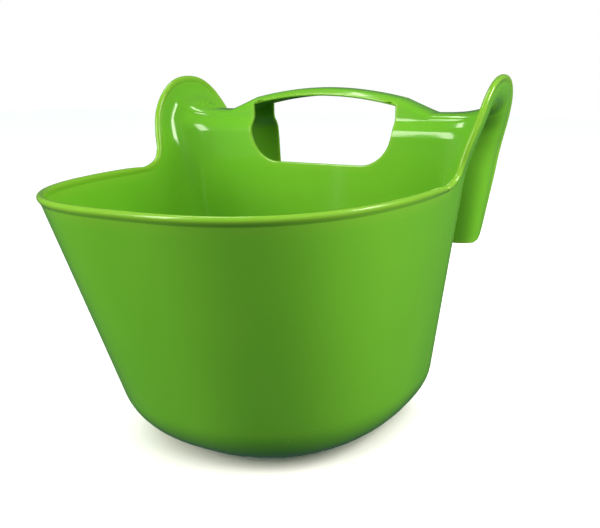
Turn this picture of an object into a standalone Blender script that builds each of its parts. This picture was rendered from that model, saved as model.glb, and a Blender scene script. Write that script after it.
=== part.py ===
"""Hook-on fruit picking tub, one plastic moulding, built as separate functional zones.

Units are metres, +Z is up, the tub's front faces -Y and the hooks are at +Y.
The design is a thin curved sheet, measured on its middle surface: the tub, a raised back
with a hand hole, and a channel that bends backwards over a rail and comes down as two legs.
Each zone of that sheet is thickened into a closed solid of its own, and beads run round
the mouth and the hook ends. Lengths in Y are from the back wall, and finish() moves them
so that the origin is the centre of the flat underside.
"""
import bmesh
import bpy
import numpy as np
from math import acos, cos, pi, sin, sqrt

# ---- driving dimensions -------------------------------------------------------------
WALL = 0.0030               # moulded wall thickness
GAP = 0.0003                # clearance between neighbouring solids
BEAD_RADIUS = 0.0026        # rounded bead round the mouth and the hook ends
BEAD_LIFT = 0.0004          # from the sheet's edge to the bead's flat side

RIM_HEIGHT = 0.2140         # top of the mouth bead
RIM_HALF_WIDTH = 0.1475     # mouth, middle of the wall
RIM_FRONT = -0.2775
RIM_WIDEST = -0.0435        # where the mouth is widest
RIM_FLAT = 0.1060           # half width of the flat back wall
RIM_FRONT_POWER = 2.8
RIM_CORNER_POWER = 3.0

BASE_HALF_WIDTH = 0.1230
BASE_FRONT = -0.2065
BASE_BACK = -0.0040
BASE_WIDEST = -0.0480
BASE_FLAT = 0.0900
BASE_FRONT_POWER = 2.25
BASE_CORNER_POWER = 2.5
BASE_FILLET = 0.0425        # rounding between the wall and the floor

CHANNEL_DEPTH = 0.0550      # back wall to leg, middle to middle
CHANNEL_TOP = 0.2605        # saddle between handle and hook end
BEND_HEIGHT = 0.2470        # where the back wall bends backwards
LEDGE = (0.0085, 0.2560)    # foot of the raised handle flank
FOOT_TRIM = 0.0080          # how far each bend of the section reaches from its corner
LEDGE_TRIM = 0.0035
CREASE_TRIM = 0.0040
LEDGE_RISE = 0.0020         # least height of the flank above the ledge
CREASE_INSET = 0.0090
CROWN_INSET = 0.0150
CROWN_DROP = 0.0008
LEG_LEAN = 0.10             # the legs open away from the wall by this slope
LEAN_SOFTNESS = 0.006

HANDLE_TOP = 0.2835         # crown of the carry handle at the middle
HANDLE_EDGE = 0.2788        # its lower edges at the middle
HANDLE_SAG = 0.0088         # drop of the handle from its middle to the hole's side
FLANK_SLOPE = 0.42          # and its fall from there to the saddle
HANDLE_BLEND = 0.0030

HOLE_HALF_WIDTH = 0.0745    # hand hole, at the middle of the rounded edge
HOLE_BOTTOM = 0.2148
HOLE_FLAT = 0.0430          # half width of the hole's straight lower edge
HOLE_CORNER_TOP = 0.2490

EAR_CENTRE = 0.0260         # hook end, a half ellipse seen from the side
EAR_FRONT = EAR_CENTRE - RIM_WIDEST
EAR_REAR = 0.0650
EAR_HEIGHT = 0.0820
EAR_SPREAD = 0.0068         # extra outward flare above the mouth
EAR_SPREAD_HEIGHT = 0.0600
EAR_POWER = 2.3             # 2 is a true ellipse, more is squarer
EAR_FILLET = 0.0170         # height of the curve from the mouth up to the hook end
EAR_FILLET_LENGTH = 0.0280  # and its length along the mouth

LEG_BOTTOM = 0.1395
LEG_HALF_WIDTH = 0.1350     # outer edge of the leg at its bottom
LEG_TAPER = 0.130
LEG_SPREAD_START = 0.2150
LEG_CORNER = 0.0120
LEG_INNER_CORNER = 0.0080
LEG_CURL = 0.6              # how fast the flare fades towards the leg's bottom, 1/m

BEAD_END_RADIUS = 0.00153   # where the bead fades out down the leg
MERGE = 0.00002             # corners closer than this are one
SHARP_ANGLE = 0.7           # radians
GLOSS_ROUGHNESS = 0.12

BEAD_NECK = sqrt(BEAD_RADIUS ** 2 - (WALL / 2) ** 2)
SEAM = RIM_HEIGHT - BEAD_RADIUS - BEAD_NECK - BEAD_LIFT
BASE_CENTRE = (BASE_FRONT + BASE_BACK) / 2

# ---- mesh density -------------------------------------------------------------------
FLOOR_RINGS = 3
FILLET_STEPS = 5
WALL_STEPS = 5
FRONT_STEPS = 14            # from the side of the mouth to its front
GUSSET_STEPS = 4
CORNER_STEPS = 8            # round a back corner, and across a flared hook end
FLANK_STEPS = 3             # from the hand hole to the corner
UNDER_HOLE_STEPS = 3
HANDLE_STEPS = 8            # from the middle of the handle to its end
PANEL_STEPS = 5
BEND_STEPS = 3
LEG_STEPS = 6
ROUND_STEPS = 4             # round a free edge
BEAD_STEPS = 8


# ---- plan outlines of the tub -------------------------------------------------------
def corner_outline(turn, half_width, flat, widest, back, power):
    """Back corner, from the flat back wall (turn 0) to the widest point (turn 1)."""
    angle = turn * pi / 2
    x = flat + (half_width - flat) * np.sin(angle) ** (2 / power)
    y = widest + (back - widest) * np.cos(angle) ** (2 / power)
    return x, y


def front_outline(turn, half_width, widest, front, power):
    """Front half, from the widest point (turn 0) to the middle of the front (turn 1)."""
    angle = turn * pi / 2
    x = half_width * np.abs(np.cos(angle)) ** (2 / power)
    y = widest + (front - widest) * np.sin(angle) ** (2 / power)
    return x, y


def gusset_turn(distance):
    """The front outline's turn at a distance forward of the widest point."""
    share = distance / (RIM_WIDEST - RIM_FRONT)
    return np.arcsin(share ** (RIM_FRONT_POWER / 2)) * 2 / pi


def half_columns():
    """Columns of the right half of the tub, from the middle of the back to the front."""
    under = np.linspace(0, 1, UNDER_HOLE_STEPS + 1)[:-1] * HOLE_FLAT
    flank = HOLE_FLAT + np.linspace(0, 1, FLANK_STEPS + 1) * (RIM_FLAT - HOLE_FLAT)
    corner = np.linspace(0, 1, CORNER_STEPS + 1)[1:]
    gusset = np.linspace(0, 1, GUSSET_STEPS + 1)[1:] * EAR_FILLET_LENGTH
    start = gusset_turn(EAR_FILLET_LENGTH)
    front = start + np.linspace(0, 1, FRONT_STEPS + 1)[1:] * (1 - start)
    flat_x = np.concatenate([under, flank])
    turns = np.concatenate([gusset_turn(gusset), front])
    return flat_x, corner, turns


def outline(columns, at_rim):
    """Points of the right half of the mouth (at_rim) or of the base."""
    flat_x, corner, turns = columns
    if at_rim:
        flat_y = np.zeros(len(flat_x))
        corner_x, corner_y = corner_outline(
            corner, RIM_HALF_WIDTH, RIM_FLAT, RIM_WIDEST, 0.0, RIM_CORNER_POWER)
        front_x, front_y = front_outline(
            turns, RIM_HALF_WIDTH, RIM_WIDEST, RIM_FRONT, RIM_FRONT_POWER)
    else:
        flat_y = np.full(len(flat_x), BASE_BACK)
        flat_x = flat_x * BASE_FLAT / RIM_FLAT
        corner_x, corner_y = corner_outline(
            corner, BASE_HALF_WIDTH, BASE_FLAT, BASE_WIDEST, BASE_BACK, BASE_CORNER_POWER)
        front_x, front_y = front_outline(
            turns, BASE_HALF_WIDTH, BASE_WIDEST, BASE_FRONT, BASE_FRONT_POWER)
    x = np.concatenate([flat_x, corner_x, front_x])
    y = np.concatenate([flat_y, corner_y, front_y])
    x[-1] = 0.0
    return x, y


def wall_row(columns, z):
    """One level of the tub's wall: a straight blend from the base to the mouth."""
    base_x, base_y = outline(columns, False)
    rim_x, rim_y = outline(columns, True)
    share = z / RIM_HEIGHT
    x = base_x + (rim_x - base_x) * share
    y = base_y + (rim_y - base_y) * share
    return np.stack([x, y, np.full(len(x), z)], 1)


def fillet_row(columns, angle):
    """One level of the rounding under the wall; angle 0 is its edge on the floor."""
    z = WALL / 2 + BASE_FILLET * (1 - cos(angle))
    inset = BASE_FILLET * (1 - sin(angle))
    base_x, base_y = outline(columns, False)
    half_depth = (BASE_BACK - BASE_FRONT) / 2
    row = wall_row(columns, z)
    row[:, 0] -= base_x * inset / BASE_HALF_WIDTH
    row[:, 1] -= (base_y - BASE_CENTRE) * inset / half_depth
    return row


def gusset_top(distance):
    """Height above the seam of the fillet that turns the mouth up into the hook end."""
    reach = EAR_FILLET * (1 - np.minimum(distance / EAR_FILLET_LENGTH, 1))
    return EAR_FILLET - np.sqrt(EAR_FILLET ** 2 - reach ** 2)


# ---- section of the raised back, the channel and the legs ---------------------------
def smooth_max(a, b, blend):
    return (a + b + np.sqrt((a - b) ** 2 + blend ** 2)) / 2


def bend(before, corner, after, trim, steps):
    """Rounded corner between two straight runs, without its first point."""
    before, corner, after = (np.array(p) for p in (before, corner, after))
    back = before - corner
    ahead = after - corner
    start = corner + back * min(trim / np.linalg.norm(back), 0.45)
    end = corner + ahead * min(trim / np.linalg.norm(ahead), 0.45)
    t = np.linspace(0, 1, steps + 1)[:, None]
    return start * (1 - t) ** 2 + corner * 2 * t * (1 - t) + end * t ** 2


def panel_levels():
    """Levels of the back wall, close together where the hole's corner is flat."""
    rise = HOLE_CORNER_TOP - HOLE_BOTTOM
    last = acos((HOLE_CORNER_TOP - BEND_HEIGHT + FOOT_TRIM) / rise)
    angle = np.linspace(0, last, PANEL_STEPS + 1)
    return np.concatenate([[SEAM], HOLE_CORNER_TOP - rise * np.cos(angle)])


def wall_lean(z):
    return BASE_BACK * (1 - z / RIM_HEIGHT)


def front_section(x):
    """Front half of the channel's section at x: from the seam up to the crown (y, z)."""
    sag = HANDLE_SAG * (min(x, HOLE_HALF_WIDTH) / HOLE_HALF_WIDTH) ** 2
    sag += FLANK_SLOPE * max(x - HOLE_HALF_WIDTH, 0)
    crown = smooth_max(HANDLE_TOP - sag, CHANNEL_TOP, HANDLE_BLEND)
    crease = smooth_max(HANDLE_EDGE - sag, LEDGE[1] + LEDGE_RISE, HANDLE_BLEND)
    levels = panel_levels()
    wall = np.stack([wall_lean(levels), levels], 1)
    foot = (wall_lean(BEND_HEIGHT), BEND_HEIGHT)
    edge = (CREASE_INSET, crease)
    shoulder = (CROWN_INSET, crown - CROWN_DROP)
    middle = (CHANNEL_DEPTH / 2, crown)
    lower = bend(wall[-2], foot, LEDGE, FOOT_TRIM, BEND_STEPS)
    ledge = bend(foot, LEDGE, edge, LEDGE_TRIM, BEND_STEPS - 1)
    upper = bend(edge, shoulder, middle, CREASE_TRIM, BEND_STEPS - 1)
    rows = [wall[:-1], lower, ledge, [edge], upper, [middle]]
    return np.concatenate(rows), len(wall) - 1 + len(lower) + len(ledge)


def leg_levels():
    corner = LEG_BOTTOM + LEG_CORNER * (1 - np.cos(np.linspace(0, pi / 2, 4)))
    straight = np.linspace(BEND_HEIGHT - FOOT_TRIM, corner[-1], LEG_STEPS + 1)[:-1]
    return np.concatenate([straight, corner[::-1]])


def full_section(x):
    """The whole section at x, with the row numbers of both creases and of the crown."""
    front, crease = front_section(x)
    crown = len(front) - 1
    top = front[len(panel_levels()) - 1:-1][::-1].copy()
    top[:, 0] = CHANNEL_DEPTH - top[:, 0]
    levels = leg_levels()[1:]
    leg = np.stack([np.full(len(levels), CHANNEL_DEPTH), levels], 1)
    rear = np.concatenate([top, leg])
    below = BEND_HEIGHT - rear[:, 1]
    rear[:, 0] += LEG_LEAN / 2 * (below + np.sqrt(below ** 2 + LEAN_SOFTNESS ** 2))
    return np.concatenate([front, rear]), crease, crown, 2 * crown - crease


def smooth_step(t):
    t = np.clip(t, 0, 1)
    return t * t * (3 - 2 * t)


def ear_angle(run, total):
    """Angle on the hook end's half ellipse for a run along the section from the seam."""
    return run / EAR_HEIGHT + (pi / 2 - total / EAR_HEIGHT) * (run / total) ** 2


def ear_edge(section, crown):
    """The flared outer edge of the channel, one point for each row of the section."""
    run = np.concatenate([[0], np.cumsum(np.linalg.norm(np.diff(section, axis=0), axis=1))])
    seam_row = np.argmax(section[crown:, 1] < SEAM) + crown
    drop = (section[seam_row - 1, 1] - SEAM) / (section[seam_row - 1, 1] - section[seam_row, 1])
    rear_end = run[seam_row - 1] + drop * (run[seam_row] - run[seam_row - 1])
    slope = (RIM_HALF_WIDTH - BASE_HALF_WIDTH) / RIM_HEIGHT
    top_z = SEAM + EAR_HEIGHT
    top_x = RIM_HALF_WIDTH + slope * (top_z - RIM_HEIGHT) + EAR_SPREAD
    leg_top_x = LEG_HALF_WIDTH + LEG_TAPER * (top_z - LEG_BOTTOM)
    points = []
    for row in range(len(section)):
        if row <= crown:
            angle = ear_angle(run[row], run[crown])
            z = SEAM + EAR_HEIGHT * sin(angle)
            y = EAR_CENTRE - EAR_FRONT * max(cos(angle), 0.0) ** (2 / EAR_POWER)
            x = RIM_HALF_WIDTH + slope * (z - RIM_HEIGHT)
            x += EAR_SPREAD * smooth_step((z - SEAM) / EAR_SPREAD_HEIGHT)
        else:
            left = rear_end - run[row]
            total = rear_end - run[crown]
            if left > 0:
                angle = ear_angle(left, total)
                z = SEAM + EAR_HEIGHT * sin(angle)
                y = EAR_CENTRE + EAR_REAR * max(cos(angle), 0.0) ** (2 / EAR_POWER)
            else:
                z = section[row, 1]
                y = EAR_CENTRE + EAR_REAR - LEG_CURL * (SEAM - z) ** 2
            x = LEG_HALF_WIDTH + LEG_TAPER * (z - LEG_BOTTOM)
            spread = (z - LEG_SPREAD_START) / (top_z - LEG_SPREAD_START)
            x += (top_x - leg_top_x) * smooth_step(spread)
        points.append((x, y, z))
    return np.array(points)


def inner_edge(z, rear):
    """Half width of the hand hole, or of the open space between the legs, at height z."""
    if rear:
        low = max(LEG_INNER_CORNER - (z - LEG_BOTTOM), 0)
        return HOLE_HALF_WIDTH + LEG_INNER_CORNER - sqrt(LEG_INNER_CORNER ** 2 - low ** 2)
    drop = min(max(HOLE_CORNER_TOP - z, 0) / (HOLE_CORNER_TOP - HOLE_BOTTOM), 1)
    return HOLE_FLAT + (HOLE_HALF_WIDTH - HOLE_FLAT) * sqrt(1 - drop * drop)


def channel_row(row, sections, edge, rear):
    """Points of one row, from the hand hole's side out to the flared hook end."""
    corner_section = sections(RIM_FLAT)
    y_in, z_in = corner_section[row]
    inner = inner_edge(z_in, rear)
    points = []
    for share in np.linspace(0, 1, FLANK_STEPS + 1)[:-1]:
        x = inner + (RIM_FLAT - inner) * share
        y, z = sections(x)[row]
        points.append((x, y, z))
    end = 1.0
    if rear:
        low = max(LEG_CORNER - (z_in - LEG_BOTTOM), 0)
        cut = LEG_CORNER - sqrt(LEG_CORNER ** 2 - low ** 2)
        end = acos((cut / (edge[row][1] - y_in)) ** (RIM_CORNER_POWER / 2)) * 2 / pi
    turn = np.linspace(0, 1, CORNER_STEPS + 1) * end
    across, flare = corner_outline(turn, 1.0, 0.0, 0.0, 1.0, RIM_CORNER_POWER)
    flare = 1 - flare
    for a, f in zip(across, flare):
        x = RIM_FLAT + (edge[row][0] - RIM_FLAT) * a
        y = y_in + (edge[row][1] - y_in) * f
        z = z_in + (edge[row][2] - z_in) * f
        points.append((x, y, z))
    return np.array(points)


# ---- the middle surface -------------------------------------------------------------
class Sheet:
    """Quads of the right half, each with the name of its zone."""

    def __init__(self):
        self.points = []
        self.faces = []
        self.zones = []

    def grid(self, rows, zone):
        start = len(self.points)
        width = len(rows[0])
        for row in rows:
            self.points.extend(tuple(p) for p in row)
        for i in range(len(rows) - 1):
            for j in range(width - 1):
                a = start + i * width + j
                self.faces.append((a, a + 1, a + width + 1, a + width))
                self.zones.append(zone)


def build_sheet():
    sheet = Sheet()
    columns = half_columns()
    edge_column = len(columns[0]) + len(columns[1]) - 1

    fillet = [fillet_row(columns, a) for a in np.linspace(0, pi / 2, FILLET_STEPS + 1)]
    centre = np.array([0, BASE_CENTRE, WALL / 2])
    floor = [centre + (fillet[0] - centre) * s for s in np.linspace(0, 1, FLOOR_RINGS + 1)]
    sheet.grid(floor + fillet[1:], "tub_base")
    levels = np.linspace(WALL / 2 + BASE_FILLET, SEAM, WALL_STEPS + 1)
    wall = [wall_row(columns, z) for z in levels]
    wall[0] = fillet[-1]
    sheet.grid(wall, "tub_wall")

    reference, crease, crown, rear_crease = full_section(RIM_FLAT)
    edge = ear_edge(reference, crown)
    cache = {}

    def sections(x):
        if x not in cache:
            cache[x] = full_section(x)[0]
        return cache[x]

    rows = [channel_row(r, sections, edge, r > crown) for r in range(len(reference))]
    hole_column = UNDER_HOLE_STEPS
    rows[0] = wall[-1][hole_column:edge_column + 1]
    under = np.linspace(0, 1, UNDER_HOLE_STEPS + 1) * HOLE_FLAT
    strip = [(x, rows[1][0][1], HOLE_BOTTOM) for x in under]
    sheet.grid([wall[-1][:hole_column + 1], strip], "back_panel")
    sheet.grid(rows[:crease + 1], "back_panel")
    sheet.grid(rows[crease:rear_crease + 1], "hook_saddle")
    sheet.grid(rows[rear_crease:], "hook_leg")

    across = np.linspace(0, 1, HANDLE_STEPS + 1) * HOLE_HALF_WIDTH
    bar = []
    for row in range(crease, rear_crease + 1):
        bar.append([(x, *sections(x)[row]) for x in across])
    sheet.grid(bar, "carry_handle")

    gusset_rows = [r for r in range(crease) if edge[r][2] < SEAM + EAR_FILLET]
    tallest = edge[gusset_rows[-1] + 1][2]
    gusset = [wall[-1][edge_column:edge_column + GUSSET_STEPS + 1]]
    reach = RIM_WIDEST - gusset[0][:, 1]
    top = SEAM + gusset_top(reach - reach[0]) * (tallest - SEAM) / EAR_FILLET
    for row in range(1, gusset_rows[-1] + 2):
        share = (edge[row][2] - SEAM) / (tallest - SEAM)
        line = []
        for k in range(GUSSET_STEPS + 1):
            z = SEAM + (top[k] - SEAM) * share
            p = wall_row(columns, z)[edge_column + k]
            fade = (1 - k / GUSSET_STEPS) ** 2
            shift = edge[row] - wall_row(columns, edge[row][2])[edge_column]
            line.append(p + shift * fade)
        gusset.append(line)
    sheet.grid(gusset, "tub_wall")
    return sheet


def mirror_and_merge(sheet):
    """Both halves as one mesh, with shared corners merged."""
    points = np.array(sheet.points)
    mirrored = points * np.array([-1, 1, 1])
    every = np.concatenate([points, mirrored])
    keys = np.round(every / MERGE).astype(int)
    keys[:, 0][np.abs(every[:, 0]) < MERGE] = 0
    _, first, inverse = np.unique(keys, axis=0, return_index=True, return_inverse=True)
    inverse = inverse.reshape(-1)
    faces = []
    zones = []
    sides = {"hook_saddle", "hook_leg"}
    for side in (0, 1):
        for face, zone in zip(sheet.faces, sheet.zones):
            loop = [int(inverse[v + side * len(points)]) for v in face]
            if side:
                loop.reverse()
            loop = [v for i, v in enumerate(loop) if v != loop[i - 1]]
            if len(loop) < 3:
                continue
            faces.append(tuple(loop))
            suffix = ("_right", "_left")[side] if zone in sides else ""
            zones.append(zone + suffix)
    return every[first], faces, zones


def point_normals(points, faces):
    """Area-weighted normals, which point out of the tub."""
    normals = np.zeros_like(points)
    for face in faces:
        a, b, c = points[face[0]], points[face[1]], points[face[2]]
        area = np.cross(b - a, c - a)
        if len(face) == 4:
            area = area + np.cross(c - a, points[face[3]] - a)
        for v in face:
            normals[v] += area
    return normals / np.linalg.norm(normals, axis=1)[:, None]


def boundary_edges(faces):
    """Directed edges that only one face uses."""
    edges = set()
    for face in faces:
        for i, v in enumerate(face):
            edges.add((face[i - 1], v))
    return [e for e in edges if (e[1], e[0]) not in edges]


def outward(points, normals, edge):
    """Unit vector in the sheet, square to a boundary edge and away from the sheet."""
    direction = np.cross(points[edge[1]] - points[edge[0]], normals[edge[0]] + normals[edge[1]])
    return direction / np.linalg.norm(direction)


def meeting(directions, offsets, normal):
    """The in-sheet vector whose parts along the given directions are the offsets."""
    first, second = directions[0], directions[-1]
    if np.dot(first, second) > 0.995:
        return (first + second) / np.linalg.norm(first + second) * max(offsets, key=abs)
    system = np.array([first, second, normal])
    return np.linalg.solve(system, np.array([offsets[0], offsets[-1], 0.0]))


def solid_from_zone(name, points, normals, faces, free, beaded, rounding):
    """A closed solid: the zone thickened, its free edges rounded and its cuts flat."""
    edges = boundary_edges(faces)
    at_vertex = {}
    for e in edges:
        for v in e:
            at_vertex.setdefault(v, []).append(e)
    place_at = {v: points[v] for face in faces for v in face}
    for v, pair in at_vertex.items():
        directions = [outward(points, normals, e) for e in pair]
        offsets = [0.0 if e in free and e not in beaded else -GAP / 2 for e in pair]
        if any(offsets):
            place_at[v] = points[v] + meeting(directions, offsets, normals[v])
    mesh = bmesh.new()
    top = {v: mesh.verts.new(p + normals[v] * WALL / 2) for v, p in place_at.items()}
    low = {v: mesh.verts.new(p - normals[v] * WALL / 2) for v, p in place_at.items()}
    for face in faces:
        mesh.faces.new([top[v] for v in face])
        mesh.faces.new([low[v] for v in reversed(face)])
    rings = {}
    for v in at_vertex:
        round_here = [e for e in at_vertex[v] if e in free and e not in beaded]
        if not round_here:
            continue
        ring = [top[v]]
        for k in range(1, ROUND_STEPS):
            angle = pi * k / ROUND_STEPS
            offset = rounding[v] * sin(angle) + normals[v] * cos(angle) * WALL / 2
            ring.append(mesh.verts.new(place_at[v] + offset))
        rings[v] = ring + [low[v]]
        if len(round_here) == 1:
            mesh.faces.new(rings[v])
    for e in edges:
        a, b = e
        if e in free and e not in beaded:
            for k in range(ROUND_STEPS):
                mesh.faces.new([rings[a][k], rings[b][k], rings[b][k + 1], rings[a][k + 1]])
        else:
            mesh.faces.new([top[a], top[b], low[b], low[a]])
    finish(mesh, name)


def solid_bead(name, points, normals, outs, path, radii, steps):
    """A round bead along a free edge of the sheet, flat where it meets the sheet."""
    mesh = bmesh.new()
    sections = []
    for k, v in enumerate(path):
        radius = radii[k]
        ahead = points[path[min(k + 1, len(path) - 1)]] - points[path[max(k - 1, 0)]]
        ahead = ahead / np.linalg.norm(ahead)
        shift = GAP / 2 * ((k == 0) - (k == len(path) - 1)) * ahead
        start = np.arcsin(min(WALL / 2 / radius, 1.0))
        ring = []
        for angle in np.linspace(start, 2 * pi - start, steps + 1):
            out = radius * (cos(start) - cos(angle)) + BEAD_LIFT
            offset = outs[v] * out + normals[v] * radius * sin(angle)
            ring.append(mesh.verts.new(points[v] + shift + offset))
        sections.append(ring)
    for near, far in zip(sections, sections[1:]):
        for i in range(len(near)):
            j = (i + 1) % len(near)
            mesh.faces.new([near[i], near[j], far[j], far[i]])
    mesh.faces.new(sections[0])
    mesh.faces.new(sections[-1])
    finish(mesh, name)


COLOURS = {
    "tub_base": (0.150, 0.420, 0.030),
    "tub_wall": (0.165, 0.440, 0.032),
    "rim_bead": (0.290, 0.520, 0.050),
    "back_panel": (0.160, 0.430, 0.030),
    "hook_saddle_right": (0.170, 0.440, 0.032),
    "hook_saddle_left": (0.170, 0.440, 0.032),
    "hook_leg_right": (0.155, 0.430, 0.030),
    "hook_leg_left": (0.155, 0.430, 0.030),
    "carry_handle": (0.180, 0.450, 0.035),
    "ear_bead_right": (0.290, 0.520, 0.050),
    "ear_bead_left": (0.290, 0.520, 0.050),
}


def finish(mesh, name):
    """Place the mesh, shade it and give it its own glossy plastic."""
    for vert in mesh.verts:
        vert.co.y -= BASE_CENTRE
    bmesh.ops.recalc_face_normals(mesh, faces=mesh.faces)
    data = bpy.data.meshes.new(name)
    mesh.to_mesh(data)
    mesh.free()
    data.shade_smooth()
    data.set_sharp_from_angle(angle=SHARP_ANGLE)
    material = bpy.data.materials.new(name + "_plastic")
    material.use_nodes = True
    shader = material.node_tree.nodes["Principled BSDF"]
    shader.inputs["Base Color"].default_value = (*COLOURS[name], 1.0)
    shader.inputs["Roughness"].default_value = GLOSS_ROUGHNESS
    shader.inputs["Metallic"].default_value = 0.0
    data.materials.append(material)
    bpy.context.scene.collection.objects.link(bpy.data.objects.new(name, data))


def chain(edges):
    """Vertices in order along each run of directed edges."""
    following = dict(edges)
    starts = [a for a in following if a not in set(following.values())]
    runs = []
    while following:
        v = starts.pop() if starts else next(iter(following))
        run = [v]
        while run[-1] in following:
            run.append(following.pop(run[-1]))
        runs.append(run)
    return runs


def main():
    for item in list(bpy.data.objects):
        bpy.data.objects.remove(item, do_unlink=True)
    points, faces, zones = mirror_and_merge(build_sheet())
    normals = point_normals(points, faces)
    free = set(boundary_edges(faces))
    zone_of = {}
    for face, zone in zip(faces, zones):
        for i, v in enumerate(face):
            zone_of[(face[i - 1], v)] = zone

    outs = {}
    touching = {}
    for e in free:
        for v in e:
            touching.setdefault(v, []).append(outward(points, normals, e))
    for v, directions in touching.items():
        outs[v] = meeting(directions, [1.0, 1.0], normals[v])
    rounding = {v: out * WALL / 2 for v, out in outs.items()}

    def on_ear(e):
        low = min(points[e[0]][2], points[e[1]][2])
        far = min(abs(points[e[0]][0]), abs(points[e[1]][0]))
        above_corner = low > LEG_BOTTOM + LEG_CORNER - MERGE
        return zone_of[e] != "tub_wall" and above_corner and far > RIM_FLAT

    rim = {e for e in free if zone_of[e] == "tub_wall"}
    ears = {e for e in free if on_ear(e)}
    beaded = rim | ears
    for zone in sorted(set(zones)):
        own = [f for f, z in zip(faces, zones) if z == zone]
        solid_from_zone(zone, points, normals, own, free, beaded, rounding)
    rim_path = chain(rim)[0]
    radii = [BEAD_RADIUS] * len(rim_path)
    solid_bead("rim_bead", points, normals, outs, rim_path, radii, BEAD_STEPS)
    for path in chain(ears):
        side = "right" if points[path[0]][0] > 0 else "left"
        radii = []
        for v in path:
            fade = 1.0
            if points[v][1] > EAR_CENTRE:
                fade = smooth_step((points[v][2] - LEG_BOTTOM - LEG_CORNER) / (SEAM - LEG_BOTTOM))
            radii.append(BEAD_END_RADIUS + (BEAD_RADIUS - BEAD_END_RADIUS) * fade)
        solid_bead("ear_bead_" + side, points, normals, outs, path, radii, BEAD_STEPS)


main()
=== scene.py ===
from math import acos, cos, pi, radians, sin, sqrt

import bmesh
import bpy
import numpy as np
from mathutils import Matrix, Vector
from mathutils.kdtree import KDTree


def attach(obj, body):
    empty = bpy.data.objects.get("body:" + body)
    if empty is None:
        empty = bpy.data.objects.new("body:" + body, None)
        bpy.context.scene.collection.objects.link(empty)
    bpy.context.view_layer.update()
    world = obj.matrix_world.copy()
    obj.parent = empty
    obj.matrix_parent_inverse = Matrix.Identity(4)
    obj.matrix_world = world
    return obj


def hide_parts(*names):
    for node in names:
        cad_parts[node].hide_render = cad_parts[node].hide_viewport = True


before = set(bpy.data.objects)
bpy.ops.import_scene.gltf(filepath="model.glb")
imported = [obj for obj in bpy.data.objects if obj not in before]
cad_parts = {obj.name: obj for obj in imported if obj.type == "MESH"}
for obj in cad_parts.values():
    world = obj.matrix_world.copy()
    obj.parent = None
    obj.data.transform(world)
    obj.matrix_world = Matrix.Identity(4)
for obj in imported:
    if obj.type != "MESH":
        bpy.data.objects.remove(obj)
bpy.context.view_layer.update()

# ---- driving dimensions -------------------------------------------------------------
WALL = 0.0030               # moulded wall thickness
BEAD_RADIUS = 0.0026        # rounded bead round the mouth and the hook ends
BEAD_BLEND = 0.0026         # how far below the edge the bead starts to swell
BEAD_PROUD = -0.00010       # how far it stands off the wall there; below 0 is inside it
BEAD_SMOOTHING = 8          # rounds of averaging of its direction along the edge

RIM_HEIGHT = 0.2140         # top of the mouth bead
RIM_HALF_WIDTH = 0.1475     # mouth, middle of the wall
RIM_FRONT = -0.2775
RIM_WIDEST = -0.0435        # where the mouth is widest
RIM_FLAT = 0.1060           # half width of the flat back wall
RIM_FRONT_POWER = 2.8
RIM_CORNER_POWER = 3.0

BASE_HALF_WIDTH = 0.1230    # base, where the wall's lines would meet the ground
BASE_FRONT = -0.2065
BASE_BACK = -0.0040
BASE_WIDEST = -0.0480
BASE_FLAT = 0.0900
BASE_FRONT_POWER = 2.25
BASE_CORNER_POWER = 2.5
BASE_FILLET = 0.0425        # rounding between the wall and the floor

CHANNEL_DEPTH = 0.0550      # back wall to leg, middle to middle
CHANNEL_TOP = 0.2605        # saddle between handle and hook end
BEND_HEIGHT = 0.2470        # where the back wall bends backwards
LEDGE = (0.0085, 0.2560)    # foot of the raised handle flank
FOOT_TRIM = 0.0080          # how far each bend of the section reaches from its corner
LEDGE_TRIM = 0.0035
CREASE_TRIM = 0.0040
MOST_TRIM = 0.45            # the most of a straight run that one bend may take
LEDGE_RISE = 0.0020         # least height of the flank above the ledge
CREASE_INSET = 0.0090       # lower edge of the handle, behind the back wall
CROWN_INSET = 0.0150        # front of the handle's flat top
CROWN_DROP = 0.0008         # and how far it lies below the crown
LEG_LEAN = 0.10             # the legs open away from the wall by this slope
LEAN_SOFTNESS = 0.006       # how gently the lean begins

HANDLE_TOP = 0.2835         # crown of the carry handle at the middle
HANDLE_EDGE = 0.2788        # its lower edges at the middle
HANDLE_SAG = 0.0088         # drop of the handle from its middle to the hole's side
FLANK_SLOPE = 0.42          # and its fall from there to the saddle
HANDLE_BLEND = 0.0030       # softens where the handle's fall reaches the saddle

HOLE_HALF_WIDTH = 0.0745    # hand hole, at the middle of the rounded edge
HOLE_BOTTOM = 0.2148
HOLE_FLAT = 0.0430          # half width of the hole's straight lower edge
HOLE_CORNER_TOP = 0.2490    # where the hole's sides become straight

EAR_CENTRE = 0.0260         # hook end, a half ellipse seen from the side
EAR_FRONT = EAR_CENTRE - RIM_WIDEST
EAR_REAR = 0.0650           # its reach behind the centre
EAR_HEIGHT = 0.0820         # above the seam under the mouth bead
EAR_SPREAD = 0.0068         # extra outward flare above the mouth
EAR_SPREAD_HEIGHT = 0.0600
EAR_POWER = 2.3             # 2 is a true ellipse, more is squarer
EAR_FILLET = 0.0170         # height of the curve from the mouth up to the hook end
EAR_FILLET_LENGTH = 0.0280  # and its length along the mouth

LEG_BOTTOM = 0.1395
LEG_HALF_WIDTH = 0.1350     # outer edge of the leg at its bottom
LEG_TAPER = 0.130
LEG_SPREAD_START = 0.2150
LEG_CORNER = 0.0120
LEG_INNER_CORNER = 0.0080
LEG_CURL = 0.6              # how fast the flare fades towards the leg's bottom, 1/m

BEAD_END_RADIUS = 0.00153   # where the bead fades out down the leg
MERGE = 0.000001            # corners closer than this are one
SHARP_ANGLE = 0.7           # radians
STRAIGHT = 0.995            # cosine above which two edges count as one line
EDGE_REACH = 0.004          # how far the paler colour reaches in from a free edge

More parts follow.
